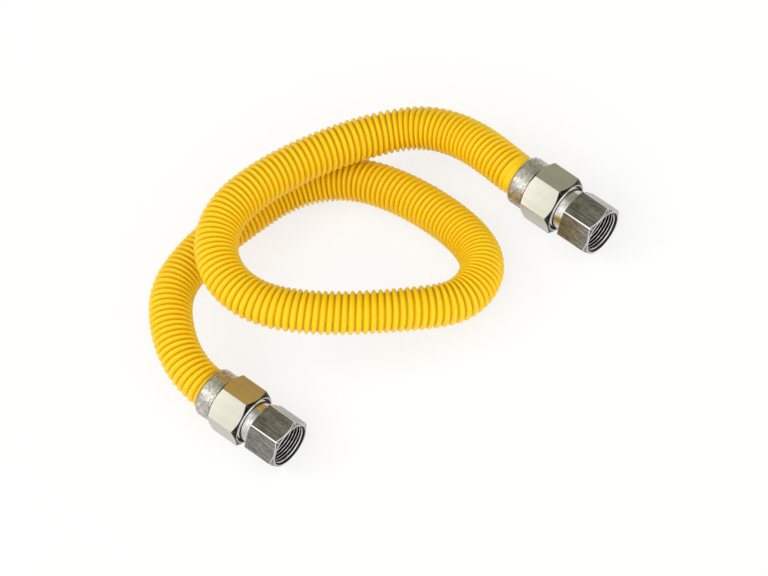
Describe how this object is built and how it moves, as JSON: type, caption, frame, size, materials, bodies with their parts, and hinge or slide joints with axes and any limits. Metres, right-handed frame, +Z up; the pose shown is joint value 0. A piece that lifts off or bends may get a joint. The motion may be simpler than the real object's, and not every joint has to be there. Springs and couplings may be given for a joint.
{
  "type": "flexible connector",
  "caption": "Coated corrugated gas hose in a loose coil, with a flare nut and a female pipe-thread adapter on each end.",
  "frame": {"origin": "on the surface that it lies on, midway between the two end fittings", "axes": "+Z up; +Y from the first fitting to the second; both ports open towards +X, 10 degrees down"},
  "size_m": [0.2168, 0.2486, 0.0793],
  "materials": {
    "coating": "glossy golden yellow polymer coat over a corrugated steel tube",
    "plated_nut": "bright nickel-plated steel, forged collar, ground wrench flats",
    "plated_adapter": "darker brushed plated steel with polished edges"
  },
  "bodies": {
    "hose": {"corrugated_hose": "coating"},
    "nut_a": {"flare_nut_a": "plated_nut"},
    "adapter_a": {"adapter_a": "plated_adapter"},
    "nut_b": {"flare_nut_b": "plated_nut"},
    "adapter_b": {"adapter_b": "plated_adapter"}
  },
  "joints": [
    {"name": "nut_turn_a", "type": "hinge", "parent": "hose", "child": "nut_a", "pos_m": [-0.0659, -0.107, 0.02604], "axis": [-0.9848, 0, 0.1736], "range_deg": [0, 2880]},
    {"name": "adapter_draw_a", "type": "slide", "parent": "hose", "child": "adapter_a", "axis": [0.9848, 0, -0.1736], "range_m": [0, 0.01452]},
    {"name": "nut_turn_b", "type": "hinge", "parent": "hose", "child": "nut_b", "pos_m": [0.0044, 0.107, 0.02604], "axis": [-0.9848, 0, 0.1736], "range_deg": [0, 2880]},
    {"name": "adapter_draw_b", "type": "slide", "parent": "hose", "child": "adapter_b", "axis": [0.9848, 0, -0.1736], "range_m": [0, 0.01452]}
  ],
  "couplings": [
    {"joint": "adapter_draw_a", "follows": "nut_turn_a", "m_per_rad": 0.00028875},
    {"joint": "adapter_draw_b", "follows": "nut_turn_b", "m_per_rad": 0.00028875}
  ]
}
